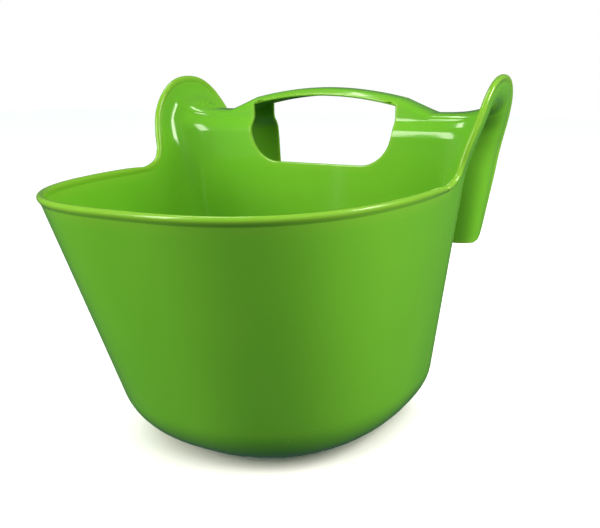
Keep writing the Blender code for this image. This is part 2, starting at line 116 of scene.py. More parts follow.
BEAD_NECK = sqrt(BEAD_RADIUS ** 2 - (WALL / 2) ** 2)
SEAM = RIM_HEIGHT - BEAD_RADIUS - BEAD_NECK
BASE_CENTRE = (BASE_FRONT + BASE_BACK) / 2

# ---- mesh density -------------------------------------------------------------------
FLOOR_RINGS = 8
FILLET_STEPS = 12
WALL_STEPS = 16
FRONT_STEPS = 44            # from the side of the mouth to its front
GUSSET_STEPS = 7            # along the curve from the mouth up to the hook end
CORNER_STEPS = 22           # round a back corner, and across a flared hook end
FLANK_STEPS = 10            # from the hand hole to the corner
UNDER_HOLE_STEPS = 10
HANDLE_STEPS = 26           # from the middle of the handle to its end
PANEL_STEPS = 13
BEND_STEPS = 9
CROWN_STEPS = 7
LEG_STEPS = 16
LEG_CORNER_STEPS = 3
ROUND_STEPS = 8             # round a free edge
BEAD_STEPS = 18             # round the free side of the bead
BEAD_BLEND_STEPS = 6        # up each of its flanks

# ---- plastic, lights and camera -----------------------------------------------------
DEEP_GREEN = (0.118, 0.392, 0.018)
LIGHT_GREEN = (0.146, 0.425, 0.024)
EDGE_GREEN = (0.180, 0.430, 0.030)
BEAD_GREEN = (0.200, 0.420, 0.028)
WALL_ROUGHNESS = 0.13
BEAD_ROUGHNESS = 0.15
UPRIGHT = (1.0, 1.0, 0.45)          # the flow marks are longer up and down
UPRIGHT_SCUFFS = (1.0, 1.0, 0.30)
FLOW_SCALE = 7.0
FLOW_RANGE = (0.30, 0.70)           # noise values between which the green changes
SCUFF_SCALE = 130.0
SCUFF_RANGE = (0.60, 0.74)
PATCH_SCALE = 16.0                  # the scuffs keep to patches
PATCH_RANGE = (0.45, 0.70)
WAVE_SCALE = 16.0
WAVE_STRENGTH = 0.35
GRAIN_SCALE = 900.0
GRAIN_STRENGTH = 0.10
EDGE_PALENESS = 0.75                # share of the edge colour right at a free edge
SCUFF_PALENESS = 0.18
FLOW_ROUGHNESS = 0.05               # what the flow marks add to the roughness
SCUFF_ROUGHNESS = 0.12
WAVE_DEPTH = 0.0012
GRAIN_DEPTH = 0.00004
PLASTIC_IOR = 1.49
COAT_WEIGHT = 0.3
COAT_ROUGHNESS = 0.05

WARM = (1.0, 0.95, 0.84)
MIDDLE = (0.0, 0.0, 0.16)           # what the lights point at
LIGHT_DISTANCE = 1.3
BROAD_SIZE = (0.95, 0.70)
BROAD_LIGHTS = (                    # name, azimuth, elevation, watts; not mirrored in the gloss
    ("light_left", -52.0, 10.0, 15.0),
    ("light_front_high", -15.0, 38.0, 3.0),
    ("light_right_high", 75.0, 38.0, 12.0),
    ("light_right_low", 106.0, 10.0, 10.5),
)
HIGHLIGHTS = (                      # name, azimuth, elevation, size, watts; mirrored in it
    ("light_streak", -26.0, 30.0, (0.34, 0.96), 9.0),
    ("light_blob", 121.0, 31.0, (0.36, 0.36), 5.0),
    ("light_top", -120.0, 68.0, (0.60, 0.16), 3.0),
)
FLOOR_REACH = 6.0
FLOOR_DROP = 0.0004                 # keeps the floor clear of the underside
FLOOR_COLOUR = (0.86, 0.86, 0.86, 1.0)
FLOOR_ROUGHNESS = 0.9
FLOOR_LIGHT = 3.2
FLOOR_LIGHT_SPREAD = 80.0           # degrees; wide, so that the shadow is soft
SKY_LOW = (0.13, 0.21, 0.26)
SKY_HIGH = (0.28, 0.36, 0.38)
SKY_HEIGHTS = (-0.25, 0.45)         # where the sky's blend begins and ends
SKY_STRENGTH = 0.62
SKY_MIRRORED = 0.30                 # its strength in the gloss

CAMERA_PLACE = (0.3064, -0.5089, 0.2892)
CAMERA_PITCH = 16.80                # degrees below level
CAMERA_TURN = 26.75                 # degrees, to its left
CAMERA_LENS = 43.06                 # millimetres, on a sensor 36 wide
CAMERA_SHIFT = (-0.0245, 0.0587)


# ---- plan outlines of the tub -------------------------------------------------------
def corner_outline(turn, half_width, flat, widest, back, power):
    """Back corner, from the flat back wall (turn 0) to the widest point (turn 1)."""
    angle = turn * pi / 2
    x = flat + (half_width - flat) * np.sin(angle) ** (2 / power)
    y = widest + (back - widest) * np.cos(angle) ** (2 / power)
    return x, y


def front_outline(turn, half_width, widest, front, power):
    """Front half, from the widest point (turn 0) to the middle of the front (turn 1)."""
    angle = turn * pi / 2
    x = half_width * np.abs(np.cos(angle)) ** (2 / power)
    y = widest + (front - widest) * np.sin(angle) ** (2 / power)
    return x, y


def gusset_turn(distance):
    """The front outline's turn at a distance forward of the widest point."""
    share = distance / (RIM_WIDEST - RIM_FRONT)
    return np.arcsin(share ** (RIM_FRONT_POWER / 2)) * 2 / pi


def half_columns():
    """Columns of the right half of the tub, from the middle of the back to the front."""
    under = np.linspace(0, 1, UNDER_HOLE_STEPS + 1)[:-1] * HOLE_FLAT
    flank = HOLE_FLAT + np.linspace(0, 1, FLANK_STEPS + 1) * (RIM_FLAT - HOLE_FLAT)
    corner = np.linspace(0, 1, CORNER_STEPS + 1)[1:]
    gusset = np.linspace(0, 1, GUSSET_STEPS + 1)[1:] * EAR_FILLET_LENGTH
    start = gusset_turn(EAR_FILLET_LENGTH)
    front = start + np.linspace(0, 1, FRONT_STEPS + 1)[1:] * (1 - start)
    flat_x = np.concatenate([under, flank])
    turns = np.concatenate([gusset_turn(gusset), front])
    return flat_x, corner, turns


def outline(columns, at_rim):
    """Points of the right half of the mouth (at_rim) or of the base."""
    flat_x, corner, turns = columns
    if at_rim:
        flat_y = np.zeros(len(flat_x))
        corner_x, corner_y = corner_outline(
            corner, RIM_HALF_WIDTH, RIM_FLAT, RIM_WIDEST, 0.0, RIM_CORNER_POWER)
        front_x, front_y = front_outline(
            turns, RIM_HALF_WIDTH, RIM_WIDEST, RIM_FRONT, RIM_FRONT_POWER)
    else:
        flat_y = np.full(len(flat_x), BASE_BACK)
        flat_x = flat_x * BASE_FLAT / RIM_FLAT
        corner_x, corner_y = corner_outline(
            corner, BASE_HALF_WIDTH, BASE_FLAT, BASE_WIDEST, BASE_BACK, BASE_CORNER_POWER)
        front_x, front_y = front_outline(
            turns, BASE_HALF_WIDTH, BASE_WIDEST, BASE_FRONT, BASE_FRONT_POWER)
    x = np.concatenate([flat_x, corner_x, front_x])
    y = np.concatenate([flat_y, corner_y, front_y])
    x[-1] = 0.0
    return x, y


def wall_row(columns, z):
    """One level of the tub's wall: a straight blend from the base to the mouth."""
    base_x, base_y = outline(columns, False)
    rim_x, rim_y = outline(columns, True)
    share = z / RIM_HEIGHT
    x = base_x + (rim_x - base_x) * share
    y = base_y + (rim_y - base_y) * share
    return np.stack([x, y, np.full(len(x), z)], 1)


def fillet_row(columns, angle):
    """One level of the rounding under the wall; angle 0 is its edge on the floor."""
    z = WALL / 2 + BASE_FILLET * (1 - cos(angle))
    inset = BASE_FILLET * (1 - sin(angle))
    base_x, base_y = outline(columns, False)
    half_depth = (BASE_BACK - BASE_FRONT) / 2
    row = wall_row(columns, z)
    row[:, 0] -= base_x * inset / BASE_HALF_WIDTH
    row[:, 1] -= (base_y - BASE_CENTRE) * inset / half_depth
    return row


def gusset_top(distance):
    """Height above the seam of the fillet that turns the mouth up into the hook end."""
    reach = EAR_FILLET * (1 - np.minimum(distance / EAR_FILLET_LENGTH, 1))
    return EAR_FILLET - np.sqrt(EAR_FILLET ** 2 - reach ** 2)


# ---- section of the raised back, the channel and the legs ---------------------------
def smooth_max(a, b, blend):
    """The larger of two heights, with a soft change from one to the other."""
    return (a + b + np.sqrt((a - b) ** 2 + blend ** 2)) / 2


def bend(before, corner, after, trim, steps):
    """Rounded corner between two straight runs, without its first point."""
    before, corner, after = (np.array(p) for p in (before, corner, after))
    back = before - corner
    ahead = after - corner
    start = corner + back * min(trim / np.linalg.norm(back), MOST_TRIM)
    end = corner + ahead * min(trim / np.linalg.norm(ahead), MOST_TRIM)
    t = np.linspace(0, 1, steps + 1)[:, None]
    return start * (1 - t) ** 2 + corner * 2 * t * (1 - t) + end * t ** 2


def panel_levels():
    """Levels of the back wall, close together where the hole's corner is flat."""
    rise = HOLE_CORNER_TOP - HOLE_BOTTOM
    last = acos((HOLE_CORNER_TOP - BEND_HEIGHT + FOOT_TRIM) / rise)
    angle = np.linspace(0, last, PANEL_STEPS + 1)
    return np.concatenate([[SEAM], HOLE_CORNER_TOP - rise * np.cos(angle)])


def wall_lean(z):
    """How far forward the back wall stands at height z."""
    return BASE_BACK * (1 - z / RIM_HEIGHT)


def front_section(x):
    """Front half of the channel's section at x: from the seam up to the crown (y, z)."""
    sag = HANDLE_SAG * (min(x, HOLE_HALF_WIDTH) / HOLE_HALF_WIDTH) ** 2
    sag += FLANK_SLOPE * max(x - HOLE_HALF_WIDTH, 0)
    crown = smooth_max(HANDLE_TOP - sag, CHANNEL_TOP, HANDLE_BLEND)
    crease = smooth_max(HANDLE_EDGE - sag, LEDGE[1] + LEDGE_RISE, HANDLE_BLEND)
    levels = panel_levels()
    wall = np.stack([wall_lean(levels), levels], 1)
    foot = (wall_lean(BEND_HEIGHT), BEND_HEIGHT)
    edge = (CREASE_INSET, crease)
    shoulder = (CROWN_INSET, crown - CROWN_DROP)
    middle = (CHANNEL_DEPTH / 2, crown)
    lower = bend(wall[-2], foot, LEDGE, FOOT_TRIM, BEND_STEPS)
    ledge = bend(foot, LEDGE, edge, LEDGE_TRIM, BEND_STEPS - 1)
    upper = bend(edge, shoulder, middle, CREASE_TRIM, BEND_STEPS - 1)
    across = np.linspace(0, 1, CROWN_STEPS + 1)[1:, None]
    top = upper[-1] + (np.array(middle) - upper[-1]) * across
    rows = [wall[:-1], lower, ledge, [edge], upper, top]
    return np.concatenate(rows), len(wall) - 1 + len(lower) + len(ledge)


def leg_levels():
    """Levels of the leg from the bend down, close together round its lower corner."""
    turn = np.linspace(0, pi / 2, LEG_CORNER_STEPS + 1)
    corner = LEG_BOTTOM + LEG_CORNER * (1 - np.cos(turn))
    straight = np.linspace(BEND_HEIGHT - FOOT_TRIM, corner[-1], LEG_STEPS + 1)[:-1]
    return np.concatenate([straight, corner[::-1]])


def full_section(x):
    """The whole section at x, with the row numbers of both creases and of the crown."""
    front, crease = front_section(x)
    crown = len(front) - 1
    top = front[len(panel_levels()) - 1:-1][::-1].copy()
    top[:, 0] = CHANNEL_DEPTH - top[:, 0]
    levels = leg_levels()[1:]
    leg = np.stack([np.full(len(levels), CHANNEL_DEPTH), levels], 1)
    rear = np.concatenate([top, leg])
    below = BEND_HEIGHT - rear[:, 1]
    rear[:, 0] += LEG_LEAN / 2 * (below + np.sqrt(below ** 2 + LEAN_SOFTNESS ** 2))
    return np.concatenate([front, rear]), crease, crown, 2 * crown - crease


def smooth_step(t):
    t = np.clip(t, 0, 1)
    return t * t * (3 - 2 * t)


def ear_angle(run, total):
    """Angle on the hook end's half ellipse for a run along the section from the seam."""
    return run / EAR_HEIGHT + (pi / 2 - total / EAR_HEIGHT) * (run / total) ** 2


def ear_edge(section, crown):
    """The flared outer edge of the channel, one point for each row of the section."""
    run = np.concatenate([[0], np.cumsum(np.linalg.norm(np.diff(section, axis=0), axis=1))])
    seam_row = np.argmax(section[crown:, 1] < SEAM) + crown
    drop = (section[seam_row - 1, 1] - SEAM) / (section[seam_row - 1, 1] - section[seam_row, 1])
    rear_end = run[seam_row - 1] + drop * (run[seam_row] - run[seam_row - 1])
    slope = (RIM_HALF_WIDTH - BASE_HALF_WIDTH) / RIM_HEIGHT
    top_z = SEAM + EAR_HEIGHT
    top_x = RIM_HALF_WIDTH + slope * (top_z - RIM_HEIGHT) + EAR_SPREAD
    leg_top_x = LEG_HALF_WIDTH + LEG_TAPER * (top_z - LEG_BOTTOM)
    points = []
    for row in range(len(section)):
        if row <= crown:
            angle = ear_angle(run[row], run[crown])
            z = SEAM + EAR_HEIGHT * sin(angle)
            y = EAR_CENTRE - EAR_FRONT * max(cos(angle), 0.0) ** (2 / EAR_POWER)
            x = RIM_HALF_WIDTH + slope * (z - RIM_HEIGHT)
            x += EAR_SPREAD * smooth_step((z - SEAM) / EAR_SPREAD_HEIGHT)
        else:
            left = rear_end - run[row]
            total = rear_end - run[crown]
            if left > 0:
                angle = ear_angle(left, total)
                z = SEAM + EAR_HEIGHT * sin(angle)
                y = EAR_CENTRE + EAR_REAR * max(cos(angle), 0.0) ** (2 / EAR_POWER)
            else:
                z = section[row, 1]
                y = EAR_CENTRE + EAR_REAR - LEG_CURL * (SEAM - z) ** 2
            x = LEG_HALF_WIDTH + LEG_TAPER * (z - LEG_BOTTOM)
            spread = (z - LEG_SPREAD_START) / (top_z - LEG_SPREAD_START)
            x += (top_x - leg_top_x) * smooth_step(spread)
        points.append((x, y, z))
    return np.array(points)


def inner_edge(z, rear):
    """Half width of the hand hole, or of the open space between the legs, at height z."""
    if rear:
        low = max(LEG_INNER_CORNER - (z - LEG_BOTTOM), 0)
        return HOLE_HALF_WIDTH + LEG_INNER_CORNER - sqrt(LEG_INNER_CORNER ** 2 - low ** 2)
    drop = min(max(HOLE_CORNER_TOP - z, 0) / (HOLE_CORNER_TOP - HOLE_BOTTOM), 1)
    return HOLE_FLAT + (HOLE_HALF_WIDTH - HOLE_FLAT) * sqrt(1 - drop * drop)


def channel_row(row, sections, edge, rear):
    """Points of one row, from the hand hole's side out to the flared hook end."""
    corner_section = sections(RIM_FLAT)
    y_in, z_in = corner_section[row]
    inner = inner_edge(z_in, rear)
    points = []
    for share in np.linspace(0, 1, FLANK_STEPS + 1)[:-1]:
        x = inner + (RIM_FLAT - inner) * share
        y, z = sections(x)[row]
        points.append((x, y, z))
    end = 1.0
    if rear:
        low = max(LEG_CORNER - (z_in - LEG_BOTTOM), 0)
        cut = LEG_CORNER - sqrt(LEG_CORNER ** 2 - low ** 2)
        end = acos((cut / (edge[row][1] - y_in)) ** (RIM_CORNER_POWER / 2)) * 2 / pi
    turn = np.linspace(0, 1, CORNER_STEPS + 1) * end
    across, flare = corner_outline(turn, 1.0, 0.0, 0.0, 1.0, RIM_CORNER_POWER)
    flare = 1 - flare
    for a, f in zip(across, flare):
        x = RIM_FLAT + (edge[row][0] - RIM_FLAT) * a
        y = y_in + (edge[row][1] - y_in) * f
        z = z_in + (edge[row][2] - z_in) * f
        points.append((x, y, z))
    return np.array(points)


# ---- the middle surface -------------------------------------------------------------
class Sheet:
    """Quads of the right half, each with the name of its zone."""

    def __init__(self):
        self.points = []
        self.faces = []
        self.zones = []

    def grid(self, rows, zone):
        """Quads between rows of points of equal length."""
        start = len(self.points)
        width = len(rows[0])
        for row in rows:
            self.points.extend(tuple(p) for p in row)
        for i in range(len(rows) - 1):
            for j in range(width - 1):
                a = start + i * width + j
                self.faces.append((a, a + 1, a + width + 1, a + width))
                self.zones.append(zone)


def build_sheet():
    """The right half of the tub's middle surface, zone by zone."""
    sheet = Sheet()
    columns = half_columns()
    edge_column = len(columns[0]) + len(columns[1]) - 1

    fillet = [fillet_row(columns, a) for a in np.linspace(0, pi / 2, FILLET_STEPS + 1)]
    centre = np.array([0, BASE_CENTRE, WALL / 2])
    floor = [centre + (fillet[0] - centre) * s for s in np.linspace(0, 1, FLOOR_RINGS + 1)]
    sheet.grid(floor + fillet[1:], "tub_base")
    levels = np.linspace(WALL / 2 + BASE_FILLET, SEAM, WALL_STEPS + 1)
    wall = [wall_row(columns, z) for z in levels]
    wall[0] = fillet[-1]
    sheet.grid(wall, "tub_wall")

    reference, crease, crown, rear_crease = full_section(RIM_FLAT)
    edge = ear_edge(reference, crown)
    cache = {}

    def sections(x):
        if x not in cache:
            cache[x] = full_section(x)[0]
        return cache[x]

    rows = [channel_row(r, sections, edge, r > crown) for r in range(len(reference))]
    hole_column = UNDER_HOLE_STEPS
    rows[0] = wall[-1][hole_column:edge_column + 1]
    under = np.linspace(0, 1, UNDER_HOLE_STEPS + 1) * HOLE_FLAT
    strip = [(x, rows[1][0][1], HOLE_BOTTOM) for x in under]
    sheet.grid([wall[-1][:hole_column + 1], strip], "back_panel")
    sheet.grid(rows[:crease + 1], "back_panel")
    sheet.grid(rows[crease:rear_crease + 1], "hook_saddle")
    sheet.grid(rows[rear_crease:], "hook_leg")

    across = np.linspace(0, 1, HANDLE_STEPS + 1) * HOLE_HALF_WIDTH
    bar = []
    for row in range(crease, rear_crease + 1):
        bar.append([(x, *sections(x)[row]) for x in across])
    sheet.grid(bar, "carry_handle")

    gusset_rows = [r for r in range(crease) if edge[r][2] < SEAM + EAR_FILLET]
    tallest = edge[gusset_rows[-1] + 1][2]
    gusset = [wall[-1][edge_column:edge_column + GUSSET_STEPS + 1]]
    reach = RIM_WIDEST - gusset[0][:, 1]
    top = SEAM + gusset_top(reach - reach[0]) * (tallest - SEAM) / EAR_FILLET
    for row in range(1, gusset_rows[-1] + 2):
        share = (edge[row][2] - SEAM) / (tallest - SEAM)
        line = []
        for k in range(GUSSET_STEPS + 1):
            z = SEAM + (top[k] - SEAM) * share
            p = wall_row(columns, z)[edge_column + k]
            fade = (1 - k / GUSSET_STEPS) ** 2
            shift = edge[row] - wall_row(columns, edge[row][2])[edge_column]
            line.append(p + shift * fade)
        gusset.append(line)
    sheet.grid(gusset, "tub_wall")
    return sheet


def mirror_and_merge(sheet):
    """Both halves as one mesh, with shared corners merged."""
    points = np.array(sheet.points)
    mirrored = points * np.array([-1, 1, 1])
    every = np.concatenate([points, mirrored])
    keys = np.round(every / MERGE).astype(int)
    keys[:, 0][np.abs(every[:, 0]) < MERGE] = 0
    _, first, inverse = np.unique(keys, axis=0, return_index=True, return_inverse=True)
    inverse = inverse.reshape(-1)
    faces = []
    zones = []
    sides = {"hook_saddle", "hook_leg"}
    for side in (0, 1):
        for face, zone in zip(sheet.faces, sheet.zones):
            loop = [int(inverse[v + side * len(points)]) for v in face]
            if side:
                loop.reverse()
            loop = [v for i, v in enumerate(loop) if v != loop[i - 1]]
            if len(loop) < 3:
                continue
            faces.append(tuple(loop))
            suffix = ("_right", "_left")[side] if zone in sides else ""
            zones.append(zone + suffix)
    return every[first], faces, zones


def point_normals(points, faces):
    """Area-weighted normals, which point out of the tub."""
    normals = np.zeros_like(points)
    for face in faces:
        a, b, c = points[face[0]], points[face[1]], points[face[2]]
        area = np.cross(b - a, c - a)
        if len(face) == 4:
            area = area + np.cross(c - a, points[face[3]] - a)
        for v in face:
            normals[v] += area
    return normals / np.linalg.norm(normals, axis=1)[:, None]


def boundary_edges(faces):
    """Directed edges that only one face uses."""
    edges = set()
    for face in faces:
        for i, v in enumerate(face):
            edges.add((face[i - 1], v))
    return [e for e in edges if (e[1], e[0]) not in edges]


def outward(points, normals, edge):
    """Unit vector in the sheet, square to a boundary edge and away from the sheet."""
    direction = np.cross(points[edge[1]] - points[edge[0]], normals[edge[0]] + normals[edge[1]])
    return direction / np.linalg.norm(direction)


def meeting(directions, normal):
    """The in-sheet vector whose parts along the first and last direction are both 1."""
    first, second = directions[0], directions[-1]
    if np.dot(first, second) > STRAIGHT:
        return (first + second) / np.linalg.norm(first + second)
    system = np.array([first, second, normal])
    return np.linalg.solve(system, np.array([1.0, 1.0, 0.0]))


def lay_out_rings(points, normals, outs, at_vertex, open_edges, top, low, mesh):
    """Rings of vertices round each free edge, from the outer face to the inner one."""
    rings = {}
    ends = []
    for v, around in at_vertex.items():
        here = [e for e in around if e in open_edges]
        if not here:
            continue
        ring = [(top[v], normals[v])]
        for k in range(1, ROUND_STEPS):
            angle = pi * k / ROUND_STEPS
            out = outs[v] * sin(angle) + normals[v] * cos(angle)
            ring.append((mesh.verts.new(points[v] + out * WALL / 2), out))
        rings[v] = ring + [(low[v], -normals[v])]
        if len(here) == 1:
            ends.append(v)
    return rings, ends


def shell_from_zone(name, points, normals, outs, faces, rounded, closeness):
    """A closed shell: the zone thickened, its free edges rounded and its joins flat."""
    edges = boundary_edges(faces)
    at_vertex = {}
    for e in edges:
        for v in e:
            at_vertex.setdefault(v, []).append(e)
    used = sorted({v for face in faces for v in face})
    mesh = bmesh.new()
    near_edge = mesh.verts.layers.float.new("near_edge")
    top = {v: mesh.verts.new(points[v] + normals[v] * WALL / 2) for v in used}
    low = {v: mesh.verts.new(points[v] - normals[v] * WALL / 2) for v in used}
    for v in used:
        top[v][near_edge] = closeness[v]
        low[v][near_edge] = closeness[v]
    open_edges = {e for e in edges if e in rounded}
    rings, ends = lay_out_rings(points, normals, outs, at_vertex, open_edges, top, low, mesh)
    for ring in rings.values():
        for vert, _ in ring[1:-1]:
            vert[near_edge] = 1.0
    corners = []

    def add(loop):
        mesh.faces.new([vert for vert, _ in loop])
        corners.append([normal for _, normal in loop])

    for face in faces:
        add([(top[v], normals[v]) for v in face])
        add([(low[v], -normals[v]) for v in reversed(face)])
    for v in ends:
        add([(vert, None) for vert, _ in rings[v]])
    for e in edges:
        a, b = e
        if e in open_edges:
            for k in range(ROUND_STEPS):
                add([rings[a][k], rings[b][k], rings[b][k + 1], rings[a][k + 1]])
        else:
            flat = [top[a], top[b], low[b], low[a]]
            add([(vert, None) for vert in flat])
    return make_piece(name, mesh, corners)


def object_from(name, mesh):
    """A smooth object in the shared frame, with its faces turned outwards."""
    for vert in mesh.verts:
        vert.co.y -= BASE_CENTRE
    bmesh.ops.recalc_face_normals(mesh, faces=mesh.faces)
    data = bpy.data.meshes.new(name)
    mesh.to_mesh(data)
    mesh.free()
    data.shade_smooth()
    piece = bpy.data.objects.new(name, data)
    bpy.context.scene.collection.objects.link(piece)
    return piece


def make_piece(name, mesh, corners):
    """Turn a bmesh into an object with the given corner normals; None means flat."""
    mesh.verts.index_update()
    mesh.faces.index_update()
    before = [tuple(vert.index for vert in face.verts) for face in mesh.faces]
    piece = object_from(name, mesh)
    data = piece.data
    custom = []
    for polygon, loop, given in zip(data.polygons, before, corners):
        by_vertex = dict(zip(loop, given))
        for k in polygon.loop_indices:
            normal = by_vertex[data.loops[k].vertex_index]
            custom.append(polygon.normal.copy() if normal is None else Vector(normal))
    data.normals_split_custom_set([n.normalized() for n in custom])
    return piece


def bead_profile(radius):
    """Half of the bead's section: distance out of the edge, to the side, and paleness."""
    crest = sqrt(radius ** 2 - (WALL / 2) ** 2)
    share = np.linspace(0, 1, BEAD_BLEND_STEPS + 1)[:-1]
    out = -BEAD_BLEND + share * (crest + BEAD_BLEND)
    side = WALL / 2 + BEAD_PROUD + (radius - WALL / 2 - BEAD_PROUD) * smooth_step(share)
    turn = np.linspace(0, pi / 2, BEAD_STEPS // 2 + 1)
    out = np.concatenate([out, crest + radius * np.sin(turn)])
    side = np.concatenate([side, radius * np.cos(turn)])
    pale = smooth_step((out + BEAD_BLEND) / (crest + BEAD_BLEND))
    return out, side, pale


def smooth_along(vectors):
    """Unit vectors along a path, each averaged with its neighbours a few times."""
    vectors = np.array(vectors)
    for _ in range(BEAD_SMOOTHING):
        vectors[1:-1] = (vectors[:-2] + 2 * vectors[1:-1] + vectors[2:]) / 4
        vectors /= np.linalg.norm(vectors, axis=1)[:, None]
    return vectors


def bead_piece(name, points, normals, outs, path, radii):
    """A rounded bead along a free edge, which swells smoothly out of the wall."""
    across = smooth_along([normals[v] for v in path])
    along_out = smooth_along([outs[v] for v in path])
    mesh = bmesh.new()
    near_edge = mesh.verts.layers.float.new("near_edge")
    sections = []
    for k, v in enumerate(path):
        out, side, pale = bead_profile(radii[k])
        out = np.concatenate([out, out[-2::-1]])
        side = np.concatenate([side, -side[-2::-1]])
        pale = np.concatenate([pale, pale[-2::-1]])
        ring = []
        for o, s, p in zip(out, side, pale):
            vert = mesh.verts.new(points[v] + along_out[k] * o + across[k] * s)
            vert[near_edge] = p
            ring.append(vert)
        sections.append(ring)
    for near, far in zip(sections, sections[1:]):
        for i in range(len(near)):
            j = (i + 1) % len(near)
            mesh.faces.new([near[i], near[j], far[j], far[i]])
    mesh.faces.new(sections[0])
    mesh.faces.new(sections[-1])
    piece = object_from(name, mesh)
    piece.data.set_sharp_from_angle(angle=SHARP_ANGLE)
    return piece


# ---- materials ----------------------------------------------------------------------
def texture_noise(tree, scale, detail, stretch=(1.0, 1.0, 1.0)):
    """Noise fixed to the object, stretched along its axes."""
    coordinates = tree.nodes.new("ShaderNodeTexCoord")
    mapping = tree.nodes.new("ShaderNodeMapping")
    mapping.inputs["Scale"].default_value = stretch
    noise = tree.nodes.new("ShaderNodeTexNoise")
    noise.inputs["Scale"].default_value = scale
    noise.inputs["Detail"].default_value = detail
    tree.links.new(coordinates.outputs["Object"], mapping.inputs["Vector"])
    tree.links.new(mapping.outputs["Vector"], noise.inputs["Vector"])
    return noise.outputs["Fac"]


def remap(tree, value, source, target):
    """A value moved from one range to another, and kept inside it."""
    node = tree.nodes.new("ShaderNodeMapRange")
    node.inputs["From Min"].default_value = source[0]
    node.inputs["From Max"].default_value = source[1]
    node.inputs["To Min"].default_value = target[0]
    node.inputs["To Max"].default_value = target[1]
    tree.links.new(value, node.inputs["Value"])
    return node.outputs["Result"]


def combine(tree, operation, first, second):
    """One arithmetic step between the outputs of two nodes."""
    node = tree.nodes.new("ShaderNodeMath")
    node.operation = operation
    tree.links.new(first, node.inputs[0])
    tree.links.new(second, node.inputs[1])
    return node.outputs[0]


def blend_colours(tree, factor, first, second):
    """Mix of two colours; each is a colour or the output of another node."""
    node = tree.nodes.new("ShaderNodeMix")
    node.data_type = "RGBA"
    tree.links.new(factor, node.inputs[0])
    for value, socket in ((first, node.inputs[6]), (second, node.inputs[7])):
        if isinstance(value, tuple):
            socket.default_value = (*value, 1.0)
        else:
            tree.links.new(value, socket)
    return node.outputs[2]


def add_bump(tree, height, strength, distance, below=None):
    """Bump from a height, on top of the bump below it if there is one."""
    node = tree.nodes.new("ShaderNodeBump")
    node.inputs["Strength"].default_value = strength
    node.inputs["Distance"].default_value = distance
    tree.links.new(height, node.inputs["Height"])
    if below is not None:
        tree.links.new(below, node.inputs["Normal"])
    return node.outputs["Normal"]


def glossy_plastic(name, edge_colour, roughness):
    """Moulded plastic: uneven green, paler thin edges, scuffs, and a faintly wavy gloss."""
    material = bpy.data.materials.new(name)
    material.use_nodes = True
    tree = material.node_tree
    shader = tree.nodes["Principled BSDF"]
    full = (0.0, 1.0)
    flow = texture_noise(tree, FLOW_SCALE, 3.0, UPRIGHT)
    scuff = remap(tree, texture_noise(tree, SCUFF_SCALE, 5.0, UPRIGHT_SCUFFS), SCUFF_RANGE, full)
    patches = remap(tree, texture_noise(tree, PATCH_SCALE, 2.0), PATCH_RANGE, full)
    wear = combine(tree, "MULTIPLY", scuff, patches)
    attribute = tree.nodes.new("ShaderNodeAttribute")
    attribute.attribute_name = "near_edge"
    near_edge = attribute.outputs["Fac"]
    body = blend_colours(tree, remap(tree, flow, FLOW_RANGE, full), DEEP_GREEN, LIGHT_GREEN)
    body = blend_colours(tree, remap(tree, wear, full, (0.0, SCUFF_PALENESS)), body, edge_colour)
    paleness = remap(tree, near_edge, full, (0.0, EDGE_PALENESS))
    body = blend_colours(tree, paleness, body, edge_colour)
    tree.links.new(body, shader.inputs["Base Color"])
    gloss = remap(tree, flow, FLOW_RANGE, (roughness, roughness + FLOW_ROUGHNESS))
    gloss = combine(tree, "ADD", gloss, remap(tree, wear, full, (0.0, SCUFF_ROUGHNESS)))
    tree.links.new(gloss, shader.inputs["Roughness"])
    height = texture_noise(tree, WAVE_SCALE, 1.0)
    waves = add_bump(tree, height, WAVE_STRENGTH, WAVE_DEPTH)
    height = texture_noise(tree, GRAIN_SCALE, 2.0)
    grain = add_bump(tree, height, GRAIN_STRENGTH, GRAIN_DEPTH, waves)
    tree.links.new(grain, shader.inputs["Normal"])
    shader.inputs["IOR"].default_value = PLASTIC_IOR
    shader.inputs["Coat Weight"].default_value = COAT_WEIGHT
    shader.inputs["Coat Roughness"].default_value = COAT_ROUGHNESS
    return material


def pale_floor():
    """Plain matt paper."""
    material = bpy.data.materials.new("floor_paper")
    material.use_nodes = True
    shader = material.node_tree.nodes["Principled BSDF"]
    shader.inputs["Base Color"].default_value = FLOOR_COLOUR
    shader.inputs["Roughness"].default_value = FLOOR_ROUGHNESS
    return material


# ---- the studio ---------------------------------------------------------------------
def softbox(name, azimuth, elevation, size, power):
    """A soft box aimed at the tub: azimuth 0 is in front, 90 on the tub's right."""
    turn = radians(azimuth)
    rise = radians(elevation)
    flat = LIGHT_DISTANCE * cos(rise)
    place = (flat * sin(turn), -flat * cos(turn), MIDDLE[2] + LIGHT_DISTANCE * sin(rise))
    light = bpy.data.lights.new(name, "AREA")
    light.shape = "RECTANGLE"
    light.size, light.size_y = size
    light.energy = power
    light.color = WARM
    lamp = bpy.data.objects.new(name, light)
    lamp.location = place
    lamp.rotation_euler = (Vector(MIDDLE) - Vector(place)).to_track_quat("-Z", "Y").to_euler()
    bpy.context.scene.collection.objects.link(lamp)
    return lamp


